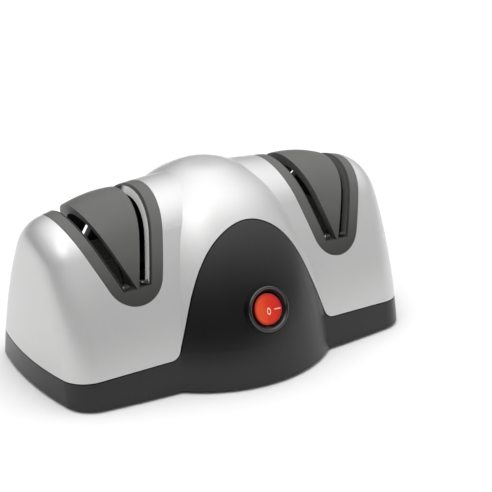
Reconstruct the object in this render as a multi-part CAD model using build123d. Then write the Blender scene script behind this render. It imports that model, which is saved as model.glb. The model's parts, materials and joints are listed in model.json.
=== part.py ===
from build123d import *
from functools import lru_cache
from math import asin, atan2, cos, pi, radians, sin, sqrt, tan
import os

# Electric knife sharpener: two slotted wings on a central motor dome.
# Millimetres.  +X runs along the length to the user's right, -Y is the front with
# the switch, +Z is up.  The origin is on the surface it stands on, under the middle.

# ---- overall form -------------------------------------------------------------
half_length = 102.0        # middle to the crown of an end face
dome_radius = 67.5         # plan radius of the motor dome at its foot
dome_height = 97.5         # crown of the dome above the table
dome_foot_lean = 8.0       # degrees, how far the dome's wall leans in at its foot
dome_crown_radius = 48.0   # rounding over the top of the dome
wing_setback = 15.0        # front of the dome to the front of the wings beside it
wing_half_depth = dome_radius - wing_setback
wing_sweep = 7.3           # how much shallower a wing is at its end
wing_drop = 3.5            # top of the dome to the wings' crown line at the middle
wing_height = dome_height - wing_drop
wing_fall = 14.0           # how much lower the wings' crown is at their ends
wing_foot_lean = 8.5       # degrees, how far a wing's wall leans in at its foot
wing_crown_radius = 31.0
wing_crown_taper = 5.2     # how much tighter the crown is at the ends
end_bow_radius = 180.0     # plan radius of the convex end faces
end_lean = 2.7             # degrees, how far an end face leans in
end_rounding = 16.0        # radius where an end face meets front, top and back
end_edge_share = 0.9       # share of the half length past which an edge belongs to an end
past_form = 1.2            # how far cutting shapes reach, as a share of the form's size

# ---- walls and seams ----------------------------------------------------------
foot_height = 1.5          # body's underside above the table
wall = 2.5                 # cover's wall
floor_thickness = 2.5
seam_end_height = 13.5     # cover's lower edge above the table, at the ends
seam_rise = 4.2            # how much higher it is at the middle
seam_width = 0.5           # open line between cover and base, closed by the lip
seam_corner_radius = 6.0   # cover's corners beside the feet of the front panel
lip_height = 3.0           # base's lip behind the cover's edge
lip_thickness = 1.2
lip_gap = 0.1              # between lip and cover
lip_root = 0.6             # how far the base's wall reaches under the lip
base_wall = wall + lip_gap + lip_root

# ---- front panel --------------------------------------------------------------
panel_foot_half_width = 43.5
panel_drop = 20.1          # top of the dome to the top of the panel
panel_top = dome_height - panel_drop
panel_foot_slope = 0.12    # how fast the arch's foot leans in
panel_shape = [(1.0, 0.0), (0.876, 0.28), (0.717, 0.57), (0.46, 0.844)]   # width, height shares

# ---- slotted inserts ----------------------------------------------------------
insert_from_end = 43.4     # end face to the middle of an insert's floor and of its wheels
insert_x = half_length - insert_from_end
insert_tilt = 4.5          # degrees, how far an insert leans towards its end of the body
slot_lean = 20.0           # degrees between a slot and the insert's middle
slot_width = 6.5           # across the slot
slot_floor = 53.5          # height of the slots' lower ends
slot_floor_ledge = 0.7     # guide block's width between the slots' lower ends
slot_floor_offset = slot_floor_ledge / 2 + slot_width / 2 / cos(radians(slot_lean))
rim_width = 5.6            # insert's rim outside each slot
rim_below_slot = 7.7       # insert's rim under the slots' lower ends
insert_depth = 5.0         # how deep rims and guide block reach into the body
flange_width = 2.6         # ledge of the insert behind the cover
hump_height = 1.6          # guide block's crown above the rims
guide_overreach = 1.1      # how much further than the slots its crown is drawn
insert_gap = 0.25          # shadow line round an insert

# ---- spring strips ------------------------------------------------------------
strip_thickness = 0.4
strip_below_surface = 0.8
strip_height = 3.6
strip_stand_off = 0.6      # room behind a strip, which it gives up to a blade
strip_floor_gap = 0.4      # strip's lower end above the slot's floor
strip_foot_length = 3.4

# ---- drive --------------------------------------------------------------------
shaft_height = 42.5
shaft_radius = 3.0
shaft_past_nut = 3.0
bush_clearance = 0.05
wheel_radius = 23.0
wheel_pair_gap = 0.8       # between the two wheels of a pair
wheel_face_inner_radius = 14.0
wheel_edge = 0.8
wheel_into_slot = 1.3      # how far a wheel's face stands into its slot
collar_radius = 8.0
collar_thickness = 1.6
collar_neck = 3.0
collar_neck_radius = 5.0
shaft_chamfer = 0.6
nut_width = 10.0
nut_height = 5.0

motor_stack = 22.0         # lamination stack along the shaft
motor_corner = 6.0
rotor_radius = 14.0
rotor_ring_step = 1.5      # how much smaller the rotor's end rings are
air_gap = 0.5
core_side = 13.5           # iron beside the rotor's bore
core_crown = 5.0           # iron over it
core_bridge = 1.5          # iron between it and the coil's window
yoke_height = 8.0
window_height = 6.5
window_width = 30.0
motor_width = 2 * (rotor_radius + air_gap + core_side)
motor_top = shaft_height + rotor_radius + air_gap + core_crown
motor_bottom = shaft_height - rotor_radius - air_gap - core_bridge - window_height - yoke_height
coil_gap = 1.5             # between the coil's cheeks and the window's ends
coil_length = window_width - 2 * coil_gap
coil_clearance = 0.7       # between the coil's cheeks and the rotor's side of the window
coil_flange = window_height - coil_clearance
coil_wall = 5.0
coil_rounding = 4.0
coil_cheek = 1.5
bracket_thickness = 2.0
bracket_height = 18.0
bracket_offset = 7.0       # room between stack and bracket
bracket_margin = 2.0       # bracket's plate round its boss
bush_radius = 5.0
bush_length = 9.0
boss_wall = 3.5
boss_radius = bush_radius + boss_wall
stud_radius = 2.0
stud_inset = 6.5           # side of the motor to the middle of a stud
stud_spacing = motor_width - 2 * stud_inset
stud_boss_radius = 3.5
stud_head = 2.0
stud_head_radius = 3.6
ring_width = 3.0
fan_radius = 20.0
fan_width = 6.5
fan_gap = 1.5              # between a bracket's boss and the fan
fan_start = motor_stack / 2 + bracket_offset + bush_length + fan_gap
fan_pitch = 55.0
fan_blades = 9
fan_hub_radius = 7.0
fan_blade_thickness = 1.2
fan_blade_width = 5.5      # before it is twisted
fan_blade_root = 2.0       # how deep a blade reaches into the hub

# ---- switch -------------------------------------------------------------------
switch_height = 37.3
bezel_thickness = 1.8
bezel_rounding = 1.4
bezel_bore = 8.7
housing_wall = 1.3
housing_radius = bezel_bore + housing_wall
bezel_flange = 1.5         # bezel's rim outside the panel's hole
bezel_radius = housing_radius + bezel_flange
housing_depth = 14.0
housing_base = 2.0
seat_rise = 0.4            # flat seat in front of the panel's curve
seat_margin = 0.8
rocker_gap = 0.8           # between rocker and bezel
rocker_radius = bezel_bore - rocker_gap
rocker_corner = 1.0        # corners beyond the rocker's radius that its swing leaves
rocker_swing_radius = rocker_radius + rocker_corner
rocker_pivot_depth = 3.2
rocker_half_angle = 10.0   # each way from level
rocker_skirt = 5.0
trunnion_radius = 1.0
trunnion_length = 0.9
trunnion_end_gap = 0.2
terminal_size = (0.8, 4.8, 6.0)
terminal_pitch = 5.0

# ---- underside ----------------------------------------------------------------
foot_radius = 6.0
foot_from_end = 22.0
foot_from_front = 22.5
foot_x = half_length - foot_from_end
foot_y = wing_half_depth - foot_from_front
foot_recess = 1.2
screw_from_end = 9.5
end_screw_x = half_length - screw_from_end
rear_screw_x = 29.0
rear_screw_y = 40.0
screw_head_radius = 3.2
screw_head_depth = 1.8
screw_head_height = 1.4
screw_radius = 1.5
screw_length = 9.0
post_radius = 3.0
vent_count = 9
vent_pitch = 5.0
vent_width = 2.2
vent_length = 34.0
inlet_height = 9.5
inlet_radius = 5.0
inlet_hole = 3.3
inlet_flange = 1.8
inlet_flange_rim = 1.3
inlet_flange_radius = inlet_radius + inlet_flange_rim
inlet_seat = 0.8
partition_thickness = 2.0
partition_gap = 1.0        # between the fan and the dust wall beside it
partition_x = fan_start + fan_width + partition_gap + partition_thickness / 2
cradle_width = 8.0
cradle_inset = 5.0         # side of the motor to the middle of its cradle
cradle_y = motor_width / 2 - cradle_inset
rib_root = 1.0             # how deep floor and posts reach into what carries them

big = 400.0                # longer than anything in the model


# ---- outer form ---------------------------------------------------------------
def arched_half(half_width, crown, lean, crown_radius):
    """Centre and radius of the two tangent arcs that make one leaning, crowned side.

    The side is a long arc that starts at the foot with the given lean and runs
    tangent into the arc over the top.
    """
    normal = (-cos(radians(lean)), -sin(radians(lean)))
    top = (0.0, crown - crown_radius)
    span = (half_width - top[0], foot_height - top[1])
    reach = span[0] * normal[0] + span[1] * normal[1]
    radius = (crown_radius ** 2 - span[0] ** 2 - span[1] ** 2) / (2 * (crown_radius + reach))
    centre = (half_width + radius * normal[0], foot_height + radius * normal[1])
    return centre, radius, top


def arched_points(arch, crown_radius, inset, shares):
    """Points on the side's arc, then on the top's arc, at shares of each arc's sweep."""
    centre, radius, top = arch
    join = atan2(top[1] - centre[1], top[0] - centre[0])
    foot = asin((foot_height - centre[1]) / (radius - inset))
    side = [foot + (join - foot) * share for share in shares[0]]
    over = [join + (pi / 2 - join) * share for share in shares[1]]
    points = []
    for middle, reach, angles in ((centre, radius - inset, side), (top, crown_radius - inset, over)):
        points += [(middle[0] + reach * cos(a), middle[1] + reach * sin(a)) for a in angles]
    return points, (-sin(foot), cos(foot))


def wing_depth(x):
    return wing_half_depth - wing_sweep * (x / half_length) ** 2


def wing_crown(x):
    return wing_height - wing_fall * (x / half_length) ** 2


def wing_section(x, inset, lift=0.0):
    """Front-to-back outline of the wings at one place along the length."""
    radius = wing_crown_radius - wing_crown_taper * (x / half_length) ** 2
    arch = arched_half(wing_depth(x), wing_crown(x) + lift, wing_foot_lean, radius)
    (foot, middle, tangent, crown), _ = arched_points(arch, radius, inset, ((0, 0.5, 1), (1,)))

    def at(point, side):
        return (x, side * point[0], point[1])

    edges = [
        ThreePointArc(at(foot, -1), at(middle, -1), at(tangent, -1)),
        ThreePointArc(at(tangent, -1), at(crown, 1), at(tangent, 1)),
        ThreePointArc(at(tangent, 1), at(middle, 1), at(foot, 1)),
        Line(at(foot, 1), at(foot, -1)),
    ]
    return Face(Wire(edges))


@lru_cache
def wings_form(inset):
    stations = [-1.1, -0.55, 0.0, 0.55, 1.1]
    body = loft([wing_section(s * half_length, inset) for s in stations])
    reach = half_length - inset
    sag = end_bow_radius - sqrt(end_bow_radius ** 2 - dome_radius ** 2)
    end_x = reach - sag
    outline = [
        Line((-end_x, -dome_radius), (end_x, -dome_radius)),
        ThreePointArc((end_x, -dome_radius), (reach, 0), (end_x, dome_radius)),
        Line((end_x, dome_radius), (-end_x, dome_radius)),
        ThreePointArc((-end_x, dome_radius), (-reach, 0), (-end_x, -dome_radius)),
    ]
    plan = Pos(0, 0, foot_height) * Face(Wire(outline))
    trim = extrude(plan, amount=past_form * dome_height, dir=(0, 0, 1), taper=end_lean)
    body = body & trim
    rim = [
        edge
        for edge in body.edges()
        if abs(edge.center().X) > end_edge_share * half_length
        and edge.center().Z > foot_height + floor_thickness
    ]
    return fillet(rim, end_rounding - inset)


def dome_form(inset):
    arch = arched_half(dome_radius, dome_height, dome_foot_lean, dome_crown_radius)
    points, foot_tangent = arched_points(
        arch, dome_crown_radius, inset, ((0, 0.35, 0.7, 1), (0.3, 0.65, 1))
    )
    points = [(r, 0, z) for r, z in points]
    edges = [
        Spline(points, tangents=[(foot_tangent[0], 0, foot_tangent[1]), (-1, 0, 0)]),
        Line(points[-1], (0, 0, foot_height)),
        Line((0, 0, foot_height), points[0]),
    ]
    return revolve(Face(Wire(edges)), Axis.Z)


@lru_cache
def body_form(inset):
    """Whole closed outer form, or the same form set in from its surface."""
    return wings_form(inset) + dome_form(inset)


@lru_cache
def skin(outer_inset, inner_inset):
    """Shell between two insets of the whole form."""
    return body_form(outer_inset) - body_form(inner_inset)


@lru_cache
def wing_skin(outer_inset, inner_inset):
    """Shell between two insets of the wings alone."""
    return wings_form(outer_inset) - wings_form(inner_inset)


# ---- helpers ------------------------------------------------------------------
def side_face(edges):
    """Face in the side view, facing the front: its points are (x, z)."""
    face = Plane.XZ * Face(Wire(edges))
    return face if face.normal_at().Y < 0 else -face


def through(face):
    """Side view face carried right through the body from front to back."""
    return extrude(face, amount=big, dir=(0, -1, 0)) + extrude(face, amount=big, dir=(0, 1, 0))


def polygon(points):
    """Closed outline of straight edges."""
    return [Line(a, b) for a, b in zip(points, points[1:] + points[:1])]


def along_x(x, y, z, radius, length):
    """Cylinder along the length, starting at x."""
    return Plane((x, y, z), x_dir=(0, 1, 0), z_dir=(1, 0, 0)) * Cylinder(
        radius, length, align=(Align.CENTER, Align.CENTER, Align.MIN)
    )


def upright(x, y, z, radius, height):
    """Cylinder standing on z."""
    return Pos(x, y, z) * Cylinder(radius, height, align=(Align.CENTER, Align.CENTER, Align.MIN))


def block(x, y, z, size_x, size_y, size_z):
    """Box centred on x and y, standing on z."""
    return Pos(x, y, z) * Box(size_x, size_y, size_z, align=(Align.CENTER, Align.CENTER, Align.MIN))


def mirrored(part):
    return mirror(part, about=Plane.YZ)


# ---- seam between cover and base ------------------------------------------------
def seam_height(x):
    return seam_end_height + seam_rise * (1 - (x / half_length) ** 2)


def band_face(grow):
    """Side view of everything under the cover's edge, raised by the given amount."""
    reach = past_form * half_length
    low = -reach / 2
    high = seam_height(reach) + grow
    edges = [
        ThreePointArc((-reach, high), (0, seam_height(0) + grow), (reach, high)),
        Line((reach, high), (reach, low)),
        Line((reach, low), (-reach, low)),
        Line((-reach, low), (-reach, high)),
    ]
    return side_face(edges)


def panel_face(grow):
    """Side view of the arched front panel, carried down into the band."""
    width = panel_foot_half_width + grow
    foot = seam_height(panel_foot_half_width) + grow
    rise = panel_top + grow - foot
    right = [(width * part, foot + rise * share) for part, share in panel_shape]
    right.insert(0, (width + panel_foot_slope * lip_height, foot - lip_height))
    left = [(-x, z) for x, z in reversed(right)]
    arch = Spline(
        right + [(0, foot + rise)] + left,
        tangents=[(-panel_foot_slope, 1), (-panel_foot_slope, -1)],
    )
    return side_face([arch, Line(left[-1], right[0])])


@lru_cache
def base_zone(grow=0.0):
    """Room that the base takes, or the same with its boundary moved past the seam.

    Its back is a plain band; its front is band and panel in one, with the cover's
    corners beside the panel's feet rounded.
    """
    front = extrude((band_face(grow) + panel_face(grow)).clean(), amount=big, dir=(0, -1, 0))
    corners = [
        edge
        for edge in front.edges().filter_by(Axis.Y)
        if abs(abs(edge.center().X) - panel_foot_half_width - grow) < lip_height
        and edge.center().Z > foot_height
    ]
    front = fillet(corners, seam_corner_radius - grow)
    return front + extrude(band_face(grow), amount=big, dir=(0, 1, 0))


# ---- inserts --------------------------------------------------------------------
def slot_edge(height, across):
    """Half width of the V whose edge is this far across from the slots' middle."""
    lean = radians(slot_lean)
    return slot_floor_offset + (height - slot_floor) * tan(lean) + across / cos(lean)


def insert_face(grow):
    """Rounded V outline of an insert in the side view, centred on x = 0."""
    lean = radians(slot_lean)
    edge = slot_edge(slot_floor, slot_width / 2 + rim_width + grow)
    low = slot_floor - rim_below_slot - grow
    middle = (low + edge * cos(lean) - slot_floor * sin(lean)) / (1 - sin(lean))
    radius = middle - low
    start = (radius * cos(lean), middle - radius * sin(lean))
    high = (start[0] + (big - start[1]) * tan(lean), big)
    edges = [
        ThreePointArc((-start[0], start[1]), (0, low), start),
        Line(start, high),
        Line(high, (-high[0], big)),
        Line((-high[0], big), (-start[0], start[1])),
    ]
    return side_face(edges)


def mouth_face(across):
    """Trapezium over the slots' floor, out to the given distance across a slot."""
    low = slot_edge(slot_floor, across)
    high = slot_edge(big, across)
    return side_face(polygon([(-low, slot_floor), (low, slot_floor), (high, big), (-high, big)]))


def in_insert(face):
    """Side view face drawn about an insert's middle, carried through the left insert."""
    tilted = Pos(-insert_x, 0, slot_floor) * Rot(0, -insert_tilt, 0) * Pos(0, 0, -slot_floor)
    return tilted * through(face)


def insert_frame():
    """Left insert: rim round both slots, with a ledge behind the cover."""
    rim = wing_skin(0, insert_depth) & in_insert(insert_face(-insert_gap))
    ledge = wing_skin(wall, insert_depth) & in_insert(insert_face(flange_width))
    return (rim + ledge) - in_insert(mouth_face(slot_width / 2))


def guide_block():
    """Left guide block: the crowned wedge between the two slots."""
    shares = [-1.0, -0.5, 0.0, 0.5, 1.0]
    crown = wing_crown(insert_x)
    middle = -insert_x - (crown - slot_floor) * tan(radians(insert_tilt))
    reach = guide_overreach * slot_edge(crown + hump_height, -slot_width / 2)
    sections = [
        wing_section(middle + share * reach, 0, hump_height * (1 - share ** 2))
        for share in shares
    ]
    wedge = loft(sections) & in_insert(mouth_face(-slot_width / 2))
    return wedge - wings_form(insert_depth)


def slot_frame(side):
    """Plane at a left slot's lower end, on side -1 (outer) or 1 (towards the dome).

    Its x runs across the slot, away from the guide block, and its z runs up the slot.
    """
    lean = radians(slot_lean - side * insert_tilt)
    tilt = radians(insert_tilt)
    offset = side * slot_floor_offset
    return Plane(
        (-insert_x + offset * cos(tilt), 0, slot_floor + offset * sin(tilt)),
        x_dir=(side * cos(lean), 0, -sin(lean)),
        z_dir=(side * sin(lean), 0, cos(lean)),
    )


def slot_line(side, across, height):
    """Distance from the insert's middle, at a height, of a line along a slot."""
    frame = slot_frame(side)
    start = frame.origin + frame.x_dir * across
    x = start.X + (height - start.Z) * frame.z_dir.X / frame.z_dir.Z
    return side * (x + insert_x)


def spring_strip(side):
    """Steel strip along a slot's outer wall, with a bent foot at each end."""
    inner = slot_width / 2 - strip_stand_off - strip_thickness
    low = strip_floor_gap + (slot_width / 2 - strip_stand_off) * tan(radians(slot_lean))
    slab = slot_frame(side) * Pos(inner + strip_thickness / 2, 0, low) * Box(
        strip_thickness, big, big, align=(Align.CENTER, Align.CENTER, Align.MIN)
    )
    band = wing_skin(strip_below_surface, strip_below_surface + strip_height)
    foot = slot_frame(side) * Pos(inner + strip_thickness / 2, 0, low) * Box(
        strip_foot_length, big, strip_thickness, align=(Align.MAX, Align.CENTER, Align.MIN)
    )
    return (slab + foot) & band


# ---- grinding wheels --------------------------------------------------------------
def shaft_face(x):
    """Plane across the shaft: local x is +Y and local y is +Z."""
    return Plane((x, 0, shaft_height), x_dir=(0, 1, 0), z_dir=(1, 0, 0))


def wheel_face_offset(side, radius):
    """Distance of a wheel's grinding face from the pair's middle at a radius."""
    return slot_line(side, wheel_into_slot - slot_width / 2, shaft_height + radius)


def grinding_wheel(side):
    """Wheel of a slot, drawn on the +X side of x = 0: flat back, hollow cone for a face."""
    back = wheel_pair_gap / 2
    hub = wheel_face_offset(side, wheel_face_inner_radius)
    outline = [
        (shaft_radius, back),
        (wheel_radius, back),
        (wheel_radius, wheel_face_offset(side, wheel_radius) - wheel_edge),
        (wheel_radius - wheel_edge, wheel_face_offset(side, wheel_radius - wheel_edge)),
        (wheel_face_inner_radius, hub),
        (shaft_radius, hub),
    ]
    wheel = revolve(Face(Wire(polygon([(r, a, 0) for r, a in outline]))), Axis.Y)
    return Pos(0, 0, shaft_height) * Rot(0, 0, -90) * wheel


def wheel_set():
    """Left insert's wheels, spacer, collar and nut; the motor is on their +X side."""
    inner_hub = wheel_face_offset(1, wheel_face_inner_radius)
    outer_hub = wheel_face_offset(-1, wheel_face_inner_radius)
    bore = along_x(-big / 2, 0, shaft_height, shaft_radius, big)
    spacer = along_x(-wheel_pair_gap / 2, 0, shaft_height, collar_radius, wheel_pair_gap)
    collar = along_x(inner_hub, 0, shaft_height, collar_radius, collar_thickness)
    collar += along_x(inner_hub + collar_thickness, 0, shaft_height, collar_neck_radius, collar_neck)
    hexagon = RegularPolygon(nut_width / 2, 6, major_radius=False)
    nut = extrude(shaft_face(-outer_hub - nut_height) * hexagon, amount=nut_height)
    pieces = {
        "inner_wheel": grinding_wheel(1),
        "outer_wheel": mirrored(grinding_wheel(-1)),
        "spacer": spacer - bore,
        "collar": collar - bore,
        "nut": nut - bore,
    }
    return {name: Pos(-insert_x, 0, 0) * piece for name, piece in pieces.items()}


def shaft():
    outer_hub = wheel_face_offset(-1, wheel_face_inner_radius)
    reach = insert_x + outer_hub + nut_height + shaft_past_nut
    rod = along_x(-reach, 0, shaft_height, shaft_radius, 2 * reach)
    return chamfer(rod.edges().filter_by(GeomType.CIRCLE), shaft_chamfer)


# ---- motor ------------------------------------------------------------------------
def core():
    """Lamination stack with the rotor's bore and the coil's window."""
    half = motor_stack / 2
    height = motor_top - motor_bottom
    outline = Pos(0, (motor_top + motor_bottom) / 2 - shaft_height) * RectangleRounded(
        motor_width, height, motor_corner
    )
    window = Pos(0, motor_bottom + yoke_height + window_height / 2 - shaft_height) * Rectangle(
        window_width, window_height
    )
    outline -= Circle(rotor_radius + air_gap)
    outline -= window
    for side in (-1, 1):
        outline -= Pos(side * stud_spacing / 2, 0) * Circle(stud_radius)
    return extrude(shaft_face(-half) * outline, amount=motor_stack)


def coil():
    """Field coil round the yoke under the rotor, with the flanges of its bobbin."""
    inner = (motor_stack, yoke_height)
    middle = motor_bottom + yoke_height / 2
    across = Plane((0, -coil_length / 2, middle), x_dir=(1, 0, 0), z_dir=(0, 1, 0))
    hole = Rectangle(*inner)
    winding = RectangleRounded(inner[0] + 2 * coil_wall, inner[1] + 2 * coil_wall, coil_rounding) - hole
    flange = Rectangle(inner[0] + 2 * coil_flange, inner[1] + 2 * coil_flange) - hole
    cheek = extrude(across * flange, amount=coil_cheek)
    winding = Pos(0, coil_cheek, 0) * extrude(across * winding, amount=coil_length - 2 * coil_cheek)
    return winding, Compound(children=[cheek, Pos(0, coil_length - coil_cheek, 0) * cheek])


def bracket(side):
    """Bearing bracket with its boss outside and two spacers to the stack."""
    start = motor_stack / 2 + bracket_offset
    eye = Circle(stud_boss_radius)
    outline = Circle(boss_radius + bracket_margin) + Rectangle(stud_spacing, bracket_height)
    for sign in (-1, 1):
        outline += Pos(sign * stud_spacing / 2, 0) * Circle(bracket_height / 2)
    plate = extrude(shaft_face(start) * outline, amount=bracket_thickness)
    plate += along_x(start, 0, shaft_height, boss_radius, bush_length)
    for sign in (-1, 1):
        plate += extrude(
            shaft_face(motor_stack / 2) * Pos(sign * stud_spacing / 2, 0) * eye, amount=bracket_offset
        )
        plate -= along_x(0, sign * stud_spacing / 2, shaft_height, stud_radius, big)
    plate -= along_x(0, 0, shaft_height, bush_radius, big)
    return plate if side > 0 else mirrored(plate)


def bush(side):
    start = motor_stack / 2 + bracket_offset
    sleeve = along_x(start, 0, shaft_height, bush_radius, bush_length)
    sleeve -= along_x(0, 0, shaft_height, shaft_radius + bush_clearance, big)
    return sleeve if side > 0 else mirrored(sleeve)


def studs():
    reach = motor_stack / 2 + bracket_offset + bracket_thickness
    parts = []
    for sign in (-1, 1):
        y = sign * stud_spacing / 2
        stud = along_x(-reach, y, shaft_height, stud_radius, 2 * reach)
        stud += along_x(reach, y, shaft_height, stud_head_radius, stud_head)
        stud += along_x(-reach - stud_head, y, shaft_height, stud_head_radius, stud_head)
        parts.append(stud)
    return Compound(children=parts)


def rotor():
    half = motor_stack / 2
    body = along_x(-half, 0, shaft_height, rotor_radius, motor_stack)
    for start in (-half - ring_width, half):
        body += along_x(start, 0, shaft_height, rotor_radius - rotor_ring_step, ring_width)
    return body - along_x(-big / 2, 0, shaft_height, shaft_radius, big)


def fan():
    """Cooling fan outside the right bracket, with twisted flat blades."""
    hub = along_x(fan_start, 0, shaft_height, fan_hub_radius, fan_width)
    blade = Pos(fan_start + fan_width / 2, 0, 0) * Rot(0, 0, fan_pitch) * Box(
        fan_blade_thickness, fan_blade_width, fan_radius - fan_hub_radius + fan_blade_root,
        align=(Align.CENTER, Align.CENTER, Align.MIN),
    )
    blade = Pos(0, 0, fan_hub_radius - fan_blade_root) * blade
    trim = along_x(fan_start, 0, 0, fan_radius, fan_width)
    blade = blade & trim
    for turn in range(fan_blades):
        hub += Pos(0, 0, shaft_height) * Rot(360 * turn / fan_blades, 0, 0) * blade
    return hub - along_x(-big / 2, 0, shaft_height, shaft_radius, big)


# ---- switch -----------------------------------------------------------------------
def switch_frame():
    """Plane on the panel at the switch: x to the right, y up the panel, z outward."""
    centre, radius, _ = arched_half(dome_radius, dome_height, dome_foot_lean, dome_crown_radius)
    lean = asin((switch_height - centre[1]) / radius)
    front = centre[0] + radius * cos(lean)
    return Plane((0, -front, switch_height), x_dir=(1, 0, 0), z_dir=(0, -cos(lean), sin(lean)))


def drum(radius, low, high):
    """Cylinder on the switch's axis between two distances from the panel."""
    return switch_frame() * Pos(0, 0, low) * Cylinder(
        radius, high - low, align=(Align.CENTER, Align.CENTER, Align.MIN)
    )


def switch_housing():
    """Bezel and body in one moulding, hollow for the rocker."""
    bezel = drum(bezel_radius, seat_rise, seat_rise + bezel_thickness)
    top = bezel.edges().filter_by(GeomType.CIRCLE).sort_by(lambda e: e.center().Y)[0]
    bezel = fillet(top, bezel_rounding)
    tube = drum(housing_radius, -housing_depth, seat_rise)
    bore = drum(bezel_bore, -housing_depth + housing_base, big / 10)
    pin_hole = switch_frame() * Pos(0, 0, pivot_level()) * Rot(90, 0, 0) * Cylinder(
        trunnion_radius + bush_clearance, 2 * (bezel_bore + trunnion_length + trunnion_end_gap)
    )
    return bezel + tube - bore - pin_hole


def pivot_level():
    return seat_rise + bezel_thickness - rocker_pivot_depth


def rocker():
    """Round rocker with two faces that meet in a valley, at rest on its left side."""
    valley = seat_rise + bezel_thickness - pivot_level()
    slope = tan(radians(rocker_half_angle))
    reach = past_form * rocker_radius
    outline = polygon([
        (-reach, -rocker_skirt),
        (reach, -rocker_skirt),
        (reach, valley + reach * slope),
        (0, valley),
        (-reach, valley + reach * slope),
    ])
    wedge = extrude(Plane.XZ * Face(Wire(outline)), amount=2 * reach, both=True)
    body = Cylinder(rocker_radius, big / 4) & wedge
    body = body & (Rot(90, 0, 0) * Cylinder(rocker_swing_radius, 4 * reach))
    pins = Rot(90, 0, 0) * Cylinder(trunnion_radius, 2 * (bezel_bore + trunnion_length))
    body = body + pins
    return switch_frame() * Pos(0, 0, pivot_level()) * Rot(0, -rocker_half_angle, 0) * body


def terminals():
    parts = []
    for x in (-terminal_pitch, 0, terminal_pitch):
        parts.append(switch_frame() * Pos(x, 0, -housing_depth) * Box(
            *terminal_size, align=(Align.CENTER, Align.CENTER, Align.MAX)
        ))
    return Compound(children=parts)


# ---- base and cover -----------------------------------------------------------------
def foot_places():
    return [(sx * foot_x, sy * foot_y) for sx in (-1, 1) for sy in (-1, 1)]


def screw_places():
    rear = [(side * rear_screw_x, rear_screw_y) for side in (-1, 1)]
    return [(-end_screw_x, 0), (end_screw_x, 0)] + rear


def inlet_frame():
    """Plane at the lead's inlet in the back of the base, z outward."""
    centre, radius, _ = arched_half(dome_radius, dome_height, dome_foot_lean, dome_crown_radius)
    back = centre[0] + sqrt(radius ** 2 - (inlet_height - centre[1]) ** 2)
    return Plane((0, back, inlet_height), x_dir=(-1, 0, 0), z_dir=(0, 1, 0))


def inner_ribs():
    """Floor, dust walls and motor cradle, before they are cut to the base's inside."""
    ribs = block(0, 0, foot_height - rib_root, big, big, floor_thickness + rib_root)
    wall_height = seam_height(partition_x) - lip_height - foot_height
    cradle_height = motor_bottom - foot_height
    for side in (-1, 1):
        ribs += block(side * partition_x, 0, foot_height, partition_thickness, big, wall_height)
        ribs += block(0, side * cradle_y, foot_height, motor_stack, cradle_width, cradle_height)
    return ribs


def lip():
    """Upright edge that locates the cover, rooted a little way down the base's wall."""
    band = base_zone(lip_height) - base_zone(-lip_height)
    return skin(wall + lip_gap, wall + lip_gap + lip_thickness) & band


def base_tray():
    """Tray, arched front panel and inner ribs in one moulding."""
    floor_top = foot_height + floor_thickness
    tray = (skin(0, base_wall) & base_zone()) + lip()
    tray += inner_ribs() & body_form(wall / 2)
    tray += drum(bezel_radius + seat_margin, -base_wall, seat_rise)
    tray -= drum(housing_radius, -big / 10, big / 10)
    for x, y in foot_places():
        tray -= upright(x, y, 0, foot_radius, foot_height + foot_recess)
    for x, y in screw_places():
        tray -= upright(x, y, 0, screw_head_radius, foot_height + screw_head_depth)
        tray -= upright(x, y, 0, screw_radius, floor_top + rib_root)
    slot = extrude(SlotOverall(vent_length, vent_width, rotation=90), amount=floor_top + rib_root)
    for index in range(vent_count):
        tray -= Pos((index - (vent_count - 1) / 2) * vent_pitch, 0, 0) * slot
    hole = inlet_frame() * Cylinder(inlet_radius, big / 10)
    seat = inlet_frame() * Pos(0, 0, -inlet_seat) * Cylinder(
        inlet_flange_radius, big / 10, align=(Align.CENTER, Align.CENTER, Align.MIN)
    )
    return tray - hole - seat


def cover():
    """Painted top shell with posts for the screws and openings for the inserts."""
    shell = skin(0, wall) - base_zone(seam_width)
    floor_top = foot_height + floor_thickness
    opening = in_insert(insert_face(0))
    ledge_room = in_insert(insert_face(flange_width + lip_gap))
    for x, y in screw_places():
        post = upright(x, y, floor_top, post_radius, big / 2) & body_form(wall / 2)
        post -= upright(x, y, 0, screw_radius, floor_top + screw_length)
        shell += post - ledge_room - mirrored(ledge_room)
    return shell - opening - mirrored(opening)


def cord_inlet():
    """Rubber bush that lines the lead's inlet; no lead is fitted."""
    bush_length_in = wall + inlet_seat
    flange = Cylinder(inlet_flange_radius, inlet_flange, align=(Align.CENTER, Align.CENTER, Align.MIN))
    body = Pos(0, 0, -bush_length_in) * Cylinder(
        inlet_radius, bush_length_in, align=(Align.CENTER, Align.CENTER, Align.MIN)
    )
    ring = Pos(0, 0, -inlet_seat) * flange + body
    return inlet_frame() * (ring - Cylinder(inlet_hole, big / 10))


def feet():
    return [upright(x, y, 0, foot_radius, foot_height + foot_recess) for x, y in foot_places()]


def cover_screws():
    parts = []
    for x, y in screw_places():
        seat = foot_height + screw_head_depth
        shank = floor_thickness + screw_length - screw_head_depth
        screw = upright(x, y, seat - screw_head_height, screw_head_radius, screw_head_height)
        parts.append(screw + upright(x, y, seat, screw_radius, shank))
    return Compound(children=parts)


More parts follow.
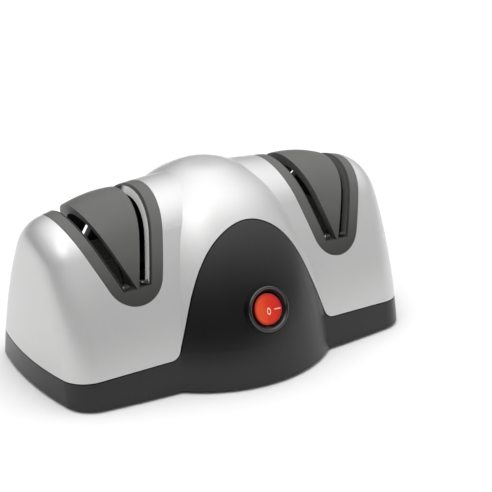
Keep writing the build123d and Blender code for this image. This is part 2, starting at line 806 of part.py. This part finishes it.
def nodes():
    """Every separate piece by name."""
    parts = {
        "base_tray": base_tray(),
        "cover_shell": cover(),
        "cord_inlet": cord_inlet(),
        "cover_screws": cover_screws(),
        "switch_housing": switch_housing(),
        "switch_rocker": rocker(),
        "switch_terminals": terminals(),
        "shaft": shaft(),
        "motor_core": core(),
        "motor_rotor": rotor(),
        "motor_studs": studs(),
        "cooling_fan": fan(),
    }
    parts["motor_coil"], parts["coil_cheeks"] = coil()
    for number, foot in enumerate(feet(), 1):
        parts[f"foot_{number}"] = foot
    frame = insert_frame()
    wedge = guide_block()
    strips = {"outer": spring_strip(-1), "inner": spring_strip(1)}
    wheels = wheel_set()
    for side, name in ((-1, "left"), (1, "right")):
        flip = (lambda part: part) if side < 0 else mirrored
        parts[f"{name}_insert"] = flip(frame)
        parts[f"{name}_guide_block"] = flip(wedge)
        for place, strip in strips.items():
            parts[f"{name}_{place}_strip"] = flip(strip)
        parts[f"{name}_bracket"] = bracket(side)
        parts[f"{name}_bush"] = bush(side)
        for place, piece in wheels.items():
            parts[f"{name}_{place}"] = flip(piece)
    return parts


if __name__ == "__main__":
    os.makedirs("parts", exist_ok=True)
    for name, part in nodes().items():
        export_step(part, f"parts/{name}.step")
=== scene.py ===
import json
import math

import bmesh
import bpy
from mathutils import Matrix, Vector


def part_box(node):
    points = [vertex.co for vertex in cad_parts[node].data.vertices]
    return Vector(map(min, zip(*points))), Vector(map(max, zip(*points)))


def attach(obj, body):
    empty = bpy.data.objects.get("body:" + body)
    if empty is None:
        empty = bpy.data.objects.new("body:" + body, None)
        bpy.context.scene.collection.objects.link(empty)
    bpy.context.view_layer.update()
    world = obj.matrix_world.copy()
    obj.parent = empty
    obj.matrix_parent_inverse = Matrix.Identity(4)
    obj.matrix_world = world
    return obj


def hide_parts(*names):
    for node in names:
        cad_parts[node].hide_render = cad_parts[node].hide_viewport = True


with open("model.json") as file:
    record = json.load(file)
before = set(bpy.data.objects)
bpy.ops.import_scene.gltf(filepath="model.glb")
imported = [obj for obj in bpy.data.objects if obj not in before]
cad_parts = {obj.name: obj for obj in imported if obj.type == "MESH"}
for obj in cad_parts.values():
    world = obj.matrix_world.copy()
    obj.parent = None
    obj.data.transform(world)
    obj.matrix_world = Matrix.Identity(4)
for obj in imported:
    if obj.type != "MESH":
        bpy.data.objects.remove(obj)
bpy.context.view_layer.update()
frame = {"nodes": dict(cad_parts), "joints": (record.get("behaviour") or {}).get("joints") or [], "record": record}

MM = 0.001
ACROSS = (1, 0, 0)
DOWN = (0, 0, -1)

ROCKER_RADIUS = 7.9 * MM
ROCKER_NARROWING = 0.91         # the rocker is a little narrower across than it is high
ROCKER_VALLEY = 1.7 * MM        # valley of the rocker before its pivot
ROCKER_HALF_ANGLE = math.radians(10)
BEZEL_FACE = 3.2 * MM           # front of the bezel before the rocker's pivot
REAR_SCREW_X = 29.0 * MM        # rear cover screws, each side of the middle
PAINTED_SHADE_LOW = 42.0 * MM           # painted shade darkens mouldings below this height
PAINTED_SHADE_HIGH = 78.0 * MM          # and leaves their full colour above this one
HIGHLIGHT_END = (4.0 * MM, 9.0 * MM)  # the strips' faces carry a painted highlight in front of here
FOOT_END = (-40.0 * MM, -36.0 * MM)     # the painted highlight on the strips' front feet ends here

nodes = frame["nodes"]
joints = {joint["name"]: joint for joint in frame["joints"]}
pivot = Vector(joints["switch_rock"]["pos_m"])
up_panel = Vector(joints["switch_rock"]["axis"])
off_panel = Vector(ACROSS).cross(up_panel)


# ---- finishes -----------------------------------------------------------------
class Amount:
    """A number that changes over a surface. Arithmetic on it adds Math nodes."""

    def __init__(self, owner, socket):
        self.owner = owner
        self.socket = socket

    def _math(self, operation, *values, clamp=False):
        settings = {"operation": operation, "use_clamp": clamp}
        return self.owner.add("ShaderNodeMath", settings, *values)

    def __add__(self, other):
        return self._math("ADD", self, other)

    def __radd__(self, other):
        return self._math("ADD", other, self)

    def __sub__(self, other):
        return self._math("SUBTRACT", self, other)

    def __rsub__(self, other):
        return self._math("SUBTRACT", other, self)

    def __mul__(self, other):
        return self._math("MULTIPLY", self, other)

    def __rmul__(self, other):
        return self._math("MULTIPLY", other, self)

    def __truediv__(self, other):
        return self._math("DIVIDE", self, other)

    def __pow__(self, other):
        return self._math("POWER", self, other)

    def below(self, other):
        return self._math("LESS_THAN", self, other)

    def highest(self, other):
        return self._math("MAXIMUM", self, other)

    def clamped(self):
        return self._math("ADD", self, 0.0, clamp=True)

    def absolute(self):
        return self._math("ABSOLUTE", self)

    def root(self):
        return self._math("SQRT", self)


class Shading:
    """The shader nodes of a finish or of the studio's surround."""

    def __init__(self, tree):
        self.tree = tree
        self.tree.nodes.clear()

    def fill(self, socket, value):
        if isinstance(value, Amount):
            self.tree.links.new(value.socket, socket)
        elif isinstance(value, tuple) and len(value) == 3 and socket.type == "RGBA":
            socket.default_value = (*value, 1.0)
        else:
            socket.default_value = value

    def add(self, kind, settings, *values, out=0, numbered=None, **named):
        """One node, with its settings first and then its sockets.

        Sockets are filled in order, by number where names repeat, or by name.
        """
        node = self.tree.nodes.new(kind)
        for key, value in settings.items():
            setattr(node, key, value)
        for socket, value in zip(node.inputs, values):
            self.fill(socket, value)
        for number, value in (numbered or {}).items():
            self.fill(node.inputs[number], value)
        for key, value in named.items():
            self.fill(node.inputs[key.replace("_", " ")], value)
        return Amount(self, node.outputs[out])


class Finish(Shading):
    """One surface finish: a Principled shader and the nodes that feed it."""

    def __init__(self, name, colour, roughness, metallic=0.0, **fixed):
        self.material = bpy.data.materials.new(name)
        self.material.use_nodes = True
        super().__init__(self.material.node_tree)
        output = self.tree.nodes.new("ShaderNodeOutputMaterial")
        self.shader = self.tree.nodes.new("ShaderNodeBsdfPrincipled")
        self.tree.links.new(self.shader.outputs[0], output.inputs[0])
        self.set("Base Color", colour)
        self.set("Roughness", roughness)
        self.set("Metallic", metallic)
        for socket, value in fixed.items():
            self.set(socket.replace("_", " "), value)
        self.material.diffuse_color = (*colour, 1.0)

    def set(self, name, value):
        self.fill(self.shader.inputs[name], value)

    def place(self):
        """Where a point is on the piece, in metres."""
        return self.add("ShaderNodeTexCoord", {}, out="Object")

    def axis(self, which):
        return self.add("ShaderNodeSeparateXYZ", {}, self.place(), out=which)

    def facing(self, which):
        """How far the surface faces along one of its piece's axes, from -1 to 1."""
        normal = self.add("ShaderNodeTexCoord", {}, out="Normal")
        return self.add("ShaderNodeSeparateXYZ", {}, normal, out=which)

    def ramp(self, amount, low, high):
        """0 where the amount is at most low, 1 where it is at least high."""
        return self.add(
            "ShaderNodeMapRange", {"interpolation_type": "SMOOTHSTEP"}, amount,
            From_Min=low, From_Max=high, out="Result",
        )

    def grain(self, size, detail=2.0, rough=0.5, stretch=(1, 1, 1)):
        """Noise between 0 and 1 whose patches are about this many metres across."""
        place = self.add("ShaderNodeMapping", {}, self.place(), Scale=stretch)
        return self.add(
            "ShaderNodeTexNoise", {"noise_dimensions": "3D"}, place,
            Scale=1.0 / size, Detail=detail, Roughness=rough, out="Fac",
        )

    def cells(self, size):
        """How far a point is from the middle of its cell, in cells this many metres wide."""
        return self.add("ShaderNodeTexVoronoi", {}, self.place(), Scale=1.0 / size, out="Distance")

    def cell_shade(self, size, channel):
        """One value between 0 and 1 for each cell."""
        shade = self.add("ShaderNodeTexVoronoi", {}, self.place(), Scale=1.0 / size, out="Color")
        return self.add("ShaderNodeSeparateColor", {}, shade, out=channel)

    def layers(self, axis, scale, distortion, detail=2.0):
        """Even bands across one axis, between 0 and 1."""
        settings = {"bands_direction": axis, "wave_profile": "SIN"}
        return self.add(
            "ShaderNodeTexWave", settings, self.place(),
            Scale=scale, Distortion=distortion, Detail=detail, out="Fac",
        )

    def blend(self, share, low, high):
        """Colour between two colours."""
        colours = {0: share, 6: low, 7: high}
        return self.add("ShaderNodeMix", {"data_type": "RGBA"}, numbered=colours, out=2)

    def relief(self, height, depth):
        """Surface relief: the height runs from 0 to 1 and stands for depth metres."""
        bump = self.add(
            "ShaderNodeBump", {}, Strength=1.0, Distance=depth, Height=height, out="Normal"
        )
        self.set("Normal", bump)


def tint(colour, factor):
    return tuple(min(1.0, channel * factor) for channel in colour)


def silver_paint():
    """Metallic lacquer on plastic: fine flake under a clear coat."""
    silver = (0.605, 0.605, 0.603)
    paint = Finish("silver_lacquer", silver, 0.34, metallic=0.55, Coat_Roughness=0.12)
    flake = paint.cell_shade(0.22 * MM, "Red")
    cloud = paint.grain(30 * MM, detail=3.0)
    share = flake * 0.35 + cloud * 0.25
    paint.set("Base Color", paint.blend(share, tint(silver, 0.93), tint(silver, 1.08)))
    paint.set("Roughness", 0.31 + 0.07 * cloud + 0.03 * flake)
    paint.set("Coat Weight", 0.25)
    paint.relief(paint.grain(1.6 * MM, detail=1.0), 0.0035 * MM)
    return paint.material


def moulded_plastic(
    name, colour, roughness, texture=0.35 * MM, depth=0.008 * MM, painted_shade_share=0.0, **fixed
):
    """Moulded plastic with the fine even texture of an eroded tool.

    Painted shade makes it darker, by the share given, towards its lower end.
    """
    plastic = Finish(name, colour, roughness, **fixed)
    fine = plastic.grain(texture, detail=2.0, rough=0.6)
    cloud = plastic.grain(20 * MM, detail=3.0)
    shade = plastic.blend(cloud, tint(colour, 0.92), tint(colour, 1.08))
    # painted shade: darker towards the lower end by the given share
    if painted_shade_share:
        height = plastic.ramp(plastic.axis("Z"), PAINTED_SHADE_LOW, PAINTED_SHADE_HIGH)
        shade = plastic.blend(height, tint(colour, 1.0 - painted_shade_share), shade)
    plastic.set("Base Color", shade)
    plastic.set("Roughness", roughness + 0.06 * (cloud - 0.5) + 0.05 * (fine - 0.5))
    plastic.relief(fine, depth)
    return plastic.material


def brushed_metal(name, colour, roughness, stretch, metallic=1.0):
    """Metal drawn or ground in one direction."""
    metal = Finish(name, colour, roughness, metallic=metallic)
    lines = metal.grain(0.4 * MM, detail=3.0, rough=0.7, stretch=stretch)
    stain = metal.grain(6 * MM, detail=4.0)
    metal.set("Base Color", metal.blend(stain, tint(colour, 0.88), tint(colour, 1.05)))
    metal.set("Roughness", roughness + 0.14 * (lines - 0.5) + 0.06 * (stain - 0.5))
    metal.relief(lines, 0.004 * MM)
    return metal.material


def abrasive_grit():
    """Bonded grit: hard grains of two shades, kept very dark as painted shade in the slot."""
    size = 0.5 * MM
    grit = Finish("abrasive_grit", (0.03, 0.03, 0.029), 0.85, Specular_IOR_Level=0.2)
    grains = grit.cells(size)
    shade = grit.cell_shade(size, "Green")
    # painted shade: both grain colours kept very dark
    grit.set("Base Color", grit.blend(shade, (0.012, 0.012, 0.012), (0.055, 0.054, 0.051)))
    grit.set("Roughness", 0.75 + 0.2 * grains)
    grit.relief(grains, 0.12 * MM)
    return grit.material


def spring_steel(name, highlight_share):
    """Spring steel painted dark as shade in its slot, with a painted highlight on its front feet.

    Its faces across the slot carry a painted highlight, by the given share, near the front.
    """
    dark, painted_highlight_colour = (0.03, 0.03, 0.03), (0.97, 0.97, 0.96)
    steel = Finish(name, (0.80, 0.80, 0.79), 0.3, metallic=0.5)
    lines = steel.grain(0.4 * MM, detail=3.0, rough=0.7, stretch=(1, 0.1, 1))
    highlight_reach = 1.0 - steel.ramp(steel.axis("Y"), *HIGHLIGHT_END)
    across = steel.ramp(steel.facing("X").absolute(), 0.75, 0.9) * highlight_reach * highlight_share
    front = 1.0 - steel.ramp(steel.axis("Y"), *FOOT_END)
    bright = across.highest(front)
    # painted shade makes the steel dark in its slot; painted highlights on faces and front feet
    steel.set("Base Color", steel.blend(bright, dark, painted_highlight_colour))
    steel.set("Metallic", 0.2 - 0.15 * front)
    steel.set("Roughness", 0.6 - 0.25 * bright + 0.1 * (lines - 0.5))
    steel.relief(lines, 0.003 * MM)
    return steel.material


def copper_wire():
    """Enamelled wire laid side by side."""
    wire = Finish("enamelled_wire", (0.50, 0.17, 0.06), 0.3, metallic=0.85)
    turns = wire.layers("Y", 520.0, 0.6, detail=1.0)
    wire.set("Base Color", wire.blend(turns, (0.25, 0.07, 0.025), (0.62, 0.24, 0.09)))
    wire.set("Roughness", 0.25 + 0.2 * turns)
    wire.relief(turns, 0.12 * MM)
    return wire.material


def lamination_stack():
    """Varnished sheets seen edge on."""
    dark, worn = (0.045, 0.045, 0.048), (0.17, 0.165, 0.16)
    stack = Finish("lamination_stack", (0.10, 0.10, 0.105), 0.45, metallic=0.6)
    sheets = stack.layers("X", 320.0, 0.2)
    rust = stack.grain(4 * MM, detail=4.0)
    stack.set("Base Color", stack.blend(sheets * 0.6 + rust * 0.3, dark, worn))
    stack.set("Roughness", 0.38 + 0.2 * rust)
    stack.relief(sheets, 0.08 * MM)
    return stack.material


def rocker_plastic():
    """Clear red plastic with light inside it, painted light and shade, and a pale printed 0 and I."""
    red, painted_light_red, painted_dark_red = (0.72, 0.038, 0.014), (0.76, 0.070, 0.014), (0.62, 0.014, 0.022)
    edge, print_colour = (0.26, 0.005, 0.007), (0.95, 0.62, 0.42)
    lens = Finish(
        "rocker_red", red, 0.14, Subsurface_Weight=0.25,
        Subsurface_Radius=(0.002, 0.0004, 0.0002), Subsurface_Scale=1.0,
    )
    x, y = lens.axis("X"), lens.axis("Y")
    cloud = lens.grain(3 * MM, detail=2.0)
    across = x / ROCKER_NARROWING
    reach = (across * across + y * y).root()
    rim = lens.ramp(reach, 0.78 * ROCKER_RADIUS, ROCKER_RADIUS)
    left_to_middle = lens.ramp(x + 1.5 * MM * (cloud - 0.5), -3.0 * MM, 1.0 * MM)
    middle_to_right = lens.ramp(x, 0.5 * MM, 6.5 * MM)
    # painted light: left half lighter, right half darker, rim darker as painted shade
    shade = lens.blend(left_to_middle, painted_light_red, red)
    shade = lens.blend(middle_to_right * 0.7, shade, painted_dark_red)
    shade = lens.blend(rim * 0.8, shade, edge)
    shade = lens.blend(zero_mark(x, y).highest(one_mark(x, y)), shade, print_colour)
    lens.set("Base Color", shade)
    lens.set("Roughness", 0.18 + 0.06 * cloud)
    lens.set("Coat Weight", 0.2)
    lens.relief(lens.grain(1.2 * MM, detail=1.0), 0.004 * MM)
    return lens.material


def zero_mark(x, y):
    """Share of print for an upright oval ring just right of the rocker's valley."""
    middle, half, stroke = (0.55 * MM, -1.1 * MM), (0.78 * MM, 1.45 * MM), 0.26
    across = (x - middle[0]) / half[0]
    up = (y - middle[1]) / half[1]
    return ((across * across + up * up).root() - 1.0).absolute().below(stroke)


def one_mark(x, y):
    """Share of print for a bar along the rocker's right half."""
    middle, half = (4.9 * MM, -0.55 * MM), (1.5 * MM, 0.28 * MM)
    across = (x - middle[0]).absolute().below(half[0])
    return across * (y - middle[1]).absolute().below(half[1])


finishes = {
    "silver_paint": silver_paint(),
    # its colour is raised so that its top carries a painted highlight, with painted shade below
    "charcoal_plastic": moulded_plastic(
        "charcoal_moulding", (0.026, 0.026, 0.0257), 0.24, painted_shade_share=0.84, Specular_IOR_Level=0.45
    ),
    # painted shade darkens the inserts towards their lower end
    "insert_plastic": moulded_plastic(
        "insert_moulding", (0.108, 0.108, 0.105), 0.4, depth=0.005 * MM, painted_shade_share=0.65,
        Specular_IOR_Level=0.3,
    ),
    "black_plastic": moulded_plastic(
        "black_moulding", (0.006, 0.006, 0.006), 0.2, depth=0.002 * MM, Specular_IOR_Level=0.8
    ),
    "red_rocker": rocker_plastic(),
    "spring_steel": spring_steel("highlight_painted_spring_steel", 1.0),
    "ground_steel": brushed_metal("ground_steel", (0.56, 0.56, 0.55), 0.22, (8, 1, 1)),
    "zinc_steel": brushed_metal("zinc_steel", (0.60, 0.61, 0.62), 0.33, (1, 1, 1)),
    "lamination_steel": lamination_stack(),
    "copper_winding": copper_wire(),
    "brass_metal": brushed_metal("plain_brass", (0.68, 0.47, 0.19), 0.3, (1, 1, 4)),
    "die_cast": brushed_metal("die_cast_alloy", (0.50, 0.50, 0.51), 0.5, (1, 1, 1), metallic=0.9),
    "abrasive": abrasive_grit(),
    "white_nylon": moulded_plastic("white_nylon", (0.72, 0.70, 0.64), 0.42),
    "black_rubber": moulded_plastic(
        "black_rubber", (0.014, 0.014, 0.014), 0.72, texture=0.6 * MM, depth=0.02 * MM
    ),
}
# outer strips take a tenth of the painted highlight and stay painted dark as shade
shade_painted_strip = spring_steel("shade_painted_spring_steel", 0.1)
for part in frame["record"]["subparts"]:
    materials = nodes[part["node"]].data.materials
    outer_strip = part["node"].endswith("outer_strip")
    materials.clear()
    materials.append(shade_painted_strip if outer_strip else finishes[part["material_slot"]])


# ---- detailed pieces ----------------------------------------------------------
def new_piece(name, shape, place, body, slot, *replaced):
    """Mesh object in a frame, that rides on a body in place of the CAD nodes it stands for."""
    mesh = bpy.data.meshes.new(name)
    bmesh.ops.recalc_face_normals(shape, faces=shape.faces)
    shape.to_mesh(mesh)
    shape.free()
    mesh.polygons.foreach_set("use_smooth", [True] * len(mesh.polygons))
    mesh.set_sharp_from_angle(angle=math.radians(38))
    mesh.materials.append(finishes[slot])
    piece = bpy.data.objects.new(name, mesh)
    piece.matrix_world = place
    bpy.context.scene.collection.objects.link(piece)
    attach(piece, body)
    if replaced:
        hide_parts(*replaced)


def frame_at(origin, outward):
    """Frame whose x runs across the object and whose z runs outward."""
    across, outward = Vector(ACROSS), Vector(outward).normalized()
    turn = Matrix((across, outward.cross(across), outward)).transposed()
    return Matrix.Translation(Vector(origin)) @ turn.to_4x4()


def spread(count):
    """Directions all round, as cosine and sine."""
    turns = [2 * math.pi * k / count for k in range(count)]
    return [(math.cos(turn), math.sin(turn)) for turn in turns]


def shaped_disc(shape, radius, surface, depth, rings=22, spokes=96, edge=0.0, centre=(0.0, 0.0)):
    """Disc whose top follows a surface, with a rolled edge, a side wall and a flat back."""
    top = []
    for ring in range(1, rings + 1):
        r = radius * math.sin(0.5 * math.pi * ring / rings)
        past = max(0.0, r - radius + edge)
        drop = edge - math.sqrt(max(0.0, edge ** 2 - past ** 2))
        row = []
        for cosine, sine in spread(spokes):
            x, y = r * cosine, r * sine
            row.append(shape.verts.new((centre[0] + x, centre[1] + y, surface(x, y) - drop)))
        top.append(row)
    hub = shape.verts.new((*centre, surface(0.0, 0.0)))
    low = [shape.verts.new((v.co.x, v.co.y, -depth)) for v in top[-1]]
    back = shape.verts.new((*centre, -depth))
    rows = top + [low]
    for inner, outer in zip(rows, rows[1:]):
        for k in range(spokes):
            n = (k + 1) % spokes
            shape.faces.new((inner[k], outer[k], outer[n], inner[n]))
    for k in range(spokes):
        n = (k + 1) % spokes
        shape.faces.new((hub, top[0][k], top[0][n]))
        shape.faces.new((back, low[n], low[k]))


def turned_ring(shape, profile, spokes=128):
    """Closed outline of (radius, height) points turned about z."""
    rows = []
    for cosine, sine in spread(spokes):
        rows.append([shape.verts.new((r * cosine, r * sine, z)) for r, z in profile])
    count = len(profile)
    for k in range(spokes):
        here, there = rows[k], rows[(k + 1) % spokes]
        for i in range(count):
            j = (i + 1) % count
            shape.faces.new((here[i], there[i], there[j], here[j]))


def rolled(middle, radius, start, end, steps):
    """Points of an arc in a profile, angles in degrees."""
    points = []
    for step in range(steps + 1):
        turn = math.radians(start + (end - start) * step / steps)
        points.append((middle[0] + radius * math.cos(turn), middle[1] + radius * math.sin(turn)))
    return points


def rocker_button():
    """Round rocker: two dished faces that meet in a soft valley."""
    slope = math.tan(ROCKER_HALF_ANGLE)
    soft, dish = 0.35 * MM, 0.25 * MM
    depth, edge = 2.5 * MM, 0.5 * MM

    def surface(x, y):
        rise = slope * (math.sqrt(x * x + soft * soft) - soft)
        share = min(1.0, abs(x) / ROCKER_RADIUS)
        hollow = dish * math.sin(math.pi * share) * (1 - (y / ROCKER_RADIUS) ** 2)
        return ROCKER_VALLEY + rise - hollow

    shape = bmesh.new()
    shaped_disc(shape, ROCKER_RADIUS, surface, depth, edge=edge)
    bmesh.ops.scale(shape, vec=(ROCKER_NARROWING, 1, 1), verts=shape.verts)
    place = frame_at(pivot, off_panel) @ Matrix.Rotation(-ROCKER_HALF_ANGLE, 4, "Y")
    new_piece("rocker_button", shape, place, "rocker", "red_rocker", "switch_rocker")


def switch_bezel():
    """Raised ring with a funnel down to the rocker, and the switch's body behind it."""
    bore, tube, rim, roll = 8.7 * MM, 10.0 * MM, 11.5 * MM, 0.9 * MM
    funnel = 9.1 * MM
    middle = 0.2 * MM           # the turned outline stops just short of its axis
    seat = BEZEL_FACE - 1.8 * MM
    back, floor = seat - 14.4 * MM, seat - 12.4 * MM
    profile = [(middle, back), (tube, back), (tube, seat), (rim, seat)]
    profile += rolled((rim - roll, BEZEL_FACE - roll), roll, 0, 140, steps=7)
    profile += [(funnel, BEZEL_FACE - 1.7 * MM), (bore, BEZEL_FACE - 2.0 * MM)]
    profile += [(bore, floor), (middle, floor)]
    shape = bmesh.new()
    turned_ring(shape, profile)
    place = frame_at(pivot, off_panel)
    new_piece("switch_bezel", shape, place, "housing", "black_plastic", "switch_housing")


def rubber_feet():
    """Moulded feet with a rolled rim and a shallow suction hollow."""
    hollow, edge = 0.35 * MM, 0.5 * MM
    for number in range(1, 5):
        node = f"foot_{number}"
        low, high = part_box(node)
        radius = (high.x - low.x) / 2
        dish_radius = 0.7 * radius

        def surface(x, y):
            reach = math.hypot(x, y) / dish_radius
            return -hollow * (0.5 + 0.5 * math.cos(math.pi * min(1.0, reach)))

        shape = bmesh.new()
        shaped_disc(shape, radius, surface, high.z - low.z, rings=14, spokes=64, edge=edge)
        place = frame_at(((low.x + high.x) / 2, (low.y + high.y) / 2, low.z), DOWN)
        new_piece(f"rubber_{node}", shape, place, "housing", "black_rubber", node)


def cross_screws():
    """Pan-head screws with a cross recess, in the wells of the underside."""
    head, thickness, shank, edge = 3.2 * MM, 1.4 * MM, 1.5 * MM, 0.3 * MM
    recess, recess_depth, arm = 1.9 * MM, 1.3 * MM, 0.42 * MM
    crown = 0.35 * MM
    low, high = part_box("cover_screws")
    end_x = high.x - head
    rear_y = high.y - head
    places = [(-end_x, 0.0), (end_x, 0.0), (-REAR_SCREW_X, -rear_y), (REAR_SCREW_X, -rear_y)]

    def surface(x, y):
        along, side = max(abs(x), abs(y)), min(abs(x), abs(y))
        inside = max(0.0, 1 - along / recess) if side < arm else 0.0
        return -recess_depth * min(1.0, 2.2 * inside) - crown * (math.hypot(x, y) / head) ** 2

    def under_head(x, y):
        return -thickness

    shape = bmesh.new()
    for centre in places:
        shaped_disc(
            shape, head, surface, thickness, rings=26, spokes=72, edge=edge, centre=centre
        )
        shaped_disc(shape, shank, under_head, high.z - low.z, rings=2, spokes=24, centre=centre)
    underside = frame_at((0, 0, low.z), DOWN)
    new_piece("cross_screws", shape, underside, "housing", "zinc_steel", "cover_screws")


def slot_tab(node):
    """Small folded tab on the front foot of a spring strip."""
    foot_height = 1.8 * MM
    inset, chamfer = 0.3 * MM, 0.15 * MM        # from the foot's sides
    radius, end_radius = 0.8 * MM, 0.62 * MM
    behind, above = 1.1 * MM, 1.3 * MM          # from the foot's front and base
    low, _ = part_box(node)
    vertices = [v.co for v in nodes[node].data.vertices]
    foot = [v for v in vertices if v.z < low.z + foot_height and v.y < 0]
    left, right = min(v.x for v in foot) + inset, max(v.x for v in foot) - inset
    y = min(v.y for v in foot) + behind
    z = min(v.z for v in foot) + above
    shape = bmesh.new()
    rows = []
    for x, r in (
        (left, end_radius), (left + chamfer, radius), (right - chamfer, radius), (right, end_radius)
    ):
        fold = rolled((y, z), r, -30, 210, steps=10)
        rows.append([shape.verts.new((x, *point)) for point in fold])
    for near, far in zip(rows, rows[1:]):
        for k in range(len(near)):
            n = (k + 1) % len(near)
            shape.faces.new((near[k], near[n], far[n], far[k]))
    shape.faces.new(rows[0])
    shape.faces.new(rows[-1])
    # the tab shows the painted highlight of the strips' front feet
    new_piece(f"{node}_tab", shape, Matrix.Identity(4), node, "spring_steel")


for side in ("left", "right"):
    for position in ("inner", "outer"):
        slot_tab(f"{side}_{position}_strip")
rocker_button()
switch_bezel()
rubber_feet()
cross_screws()


# ---- studio -------------------------------------------------------------------
def studio_world(overhead, side, haze):
    """Studio surround: bright overhead, dark at the horizon, and lighter to the right."""
    world = bpy.data.worlds.new("studio")
    world.use_nodes = True
    room = Shading(world.node_tree)
    heading = room.add("ShaderNodeTexCoord", {}, out="Generated")
    across = room.add("ShaderNodeSeparateXYZ", {}, heading, out="X").clamped()
    upward = room.add("ShaderNodeSeparateXYZ", {}, heading, out="Z").clamped()
    strength = haze + overhead * upward ** 2.0 + side * across ** 1.5
    light = room.add("ShaderNodeBackground", {}, Color=(1.0, 1.0, 1.0), Strength=strength)
    output = room.tree.nodes.new("ShaderNodeOutputWorld")
    room.fill(output.inputs["Surface"], light)
    bpy.context.scene.world = world


def studio_floor(half_size, below):
    """Wide pale floor."""
    mesh = bpy.data.meshes.new("studio_floor")
    shape = bmesh.new()
    bmesh.ops.create_grid(shape, x_segments=2, y_segments=2, size=half_size)
    shape.to_mesh(mesh)
    shape.free()
    floor = bpy.data.objects.new("studio_floor", mesh)
    floor.location = (0, 0, -below)
    bpy.context.scene.collection.objects.link(floor)
    finish = Finish("studio_floor", (0.85, 0.85, 0.847), 0.9, Specular_IOR_Level=0.0)
    mesh.materials.append(finish.material)


def softbox(name, place, aim, size, power):
    """Rectangular lamp turned towards a point."""
    lamp = bpy.data.lights.new(name, "AREA")
    lamp.shape = "RECTANGLE"
    lamp.size, lamp.size_y = size
    lamp.energy = power
    holder = bpy.data.objects.new(name, lamp)
    holder.location = place
    direction = Vector(aim) - Vector(place)
    holder.rotation_euler = direction.to_track_quat("-Z", "Y").to_euler()
    bpy.context.scene.collection.objects.link(holder)


def studio_camera(place, azimuth, elevation, lens):
    """Camera that looks along the given heading, azimuth towards +X from +Y."""
    a, e = math.radians(azimuth), math.radians(elevation)
    back = Vector((-math.sin(a) * math.cos(e), -math.cos(a) * math.cos(e), math.sin(e)))
    right = Vector((math.cos(a), -math.sin(a), 0.0))
    up = back.cross(right)
    data = bpy.data.cameras.new("studio_camera")
    data.lens = lens
    data.sensor_width = 36.0
    data.clip_start, data.clip_end = 0.02, 200.0
    camera = bpy.data.objects.new("studio_camera", data)
    turn = Matrix((right, up, back)).transposed()
    camera.matrix_world = Matrix.Translation(place) @ turn.to_4x4()
    bpy.context.scene.collection.objects.link(camera)
    bpy.context.scene.camera = camera


studio_world(overhead=2.2, side=0.5, haze=0.05)
studio_floor(half_size=40.0, below=0.2 * MM)
softbox("key_softbox", (-0.55, -0.45, 1.05), aim=(0, 0, 0.05), size=(0.6, 0.6), power=1.6)
studio_camera((-0.3714, -0.6129, 0.3431), azimuth=32.94, elevation=22.22, lens=109.8)
bpy.context.scene.view_settings.view_transform = "Standard"
